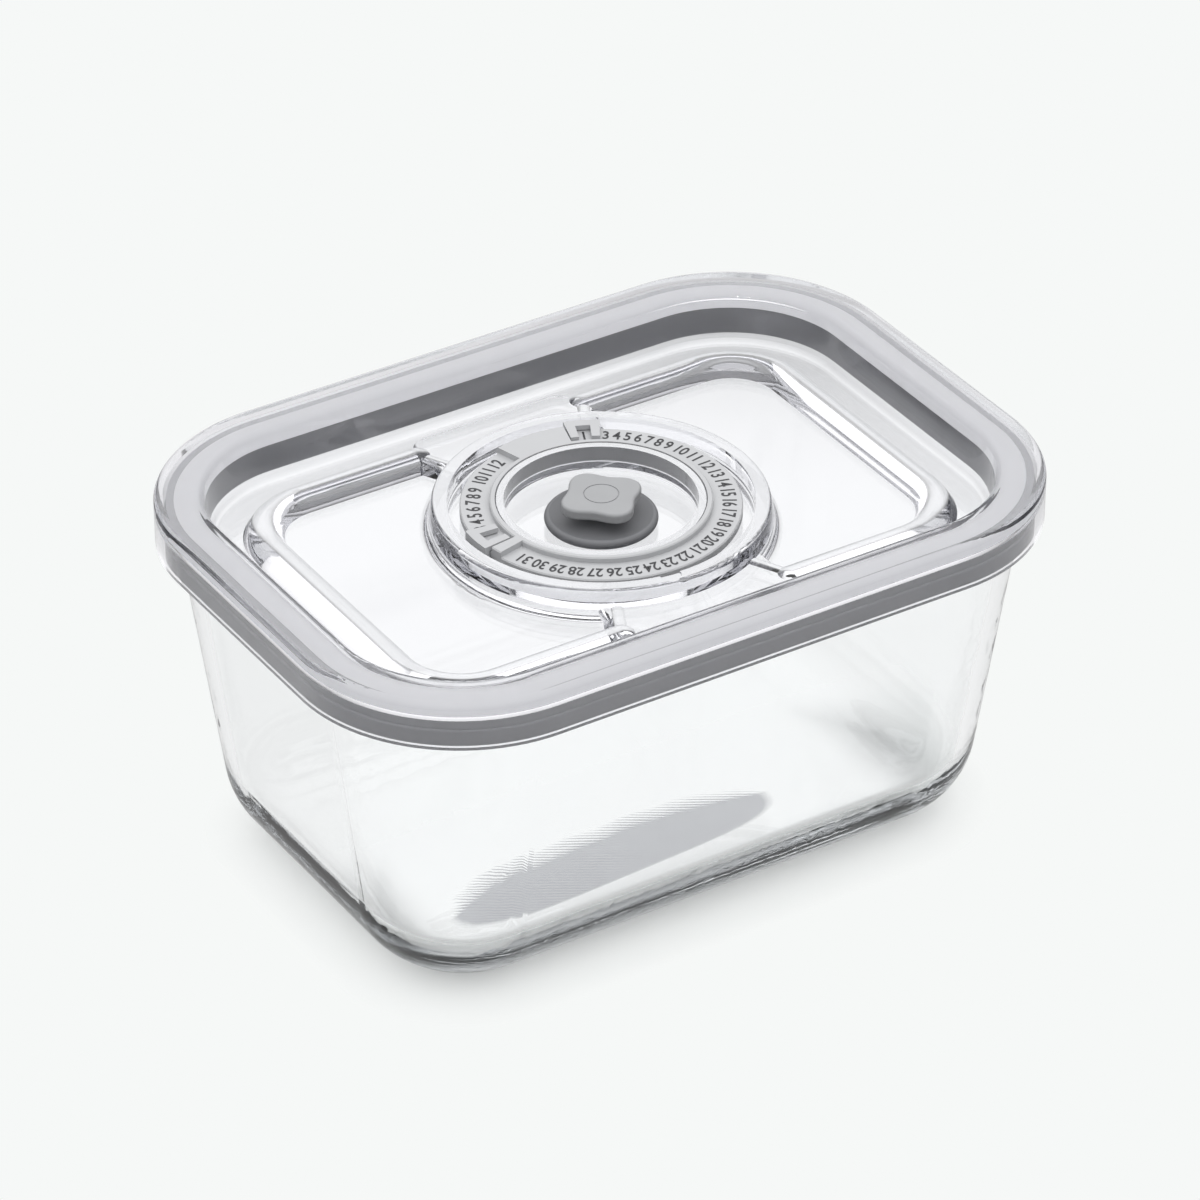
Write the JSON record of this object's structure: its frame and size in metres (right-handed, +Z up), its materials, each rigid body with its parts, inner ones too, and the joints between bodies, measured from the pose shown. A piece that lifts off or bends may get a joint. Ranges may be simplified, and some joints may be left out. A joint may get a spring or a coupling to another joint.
{
  "type": "vacuum seal canister",
  "caption": "Tapered rectangular glass food canister under a clear lid with a grey gasket, a date dial with sliding pointers and a pull valve in a round pump well.",
  "frame": {"origin": "on the table, under the middle of the dish's base", "axes": "+X along the long side, +Y towards the back, +Z up"},
  "size_m": [0.2, 0.145, 0.0972],
  "materials": {
    "glass": "clear, pressed",
    "clear_plastic": "clear, moulded",
    "gasket_silicone": "satin",
    "dial_plastic": "satin",
    "valve_silicone": "matte"
  },
  "bodies": {
    "container": {"glass_container": "glass"},
    "lid": {"lid_shell": "clear_plastic", "lid_gasket": "gasket_silicone", "date_ring": "dial_plastic", "valve_seat": "valve_silicone"},
    "day_mark": {"day_pointer": "dial_plastic"},
    "month_mark": {"month_pointer": "dial_plastic"},
    "valve": {"valve_disc": "valve_silicone", "valve_knob": "valve_silicone"}
  },
  "joints": [
    {"name": "lid_lift", "type": "slide", "parent": "container", "child": "lid", "axis": [0, 0, 1], "range_m": [0, 0.12]},
    {"name": "day_turn", "type": "hinge", "parent": "lid", "child": "day_mark", "pos_m": [0, 0, 0.0895], "axis": [0, 0, 1], "range_deg": [-224.3, 0]},
    {"name": "month_turn", "type": "hinge", "parent": "lid", "child": "month_mark", "pos_m": [0, 0, 0.0895], "axis": [0, 0, 1], "range_deg": [-66.4, 0]},
    {"name": "valve_lift", "type": "slide", "parent": "lid", "child": "valve", "axis": [0, 0, 1], "range_m": [0, 0.003]}
  ]
}
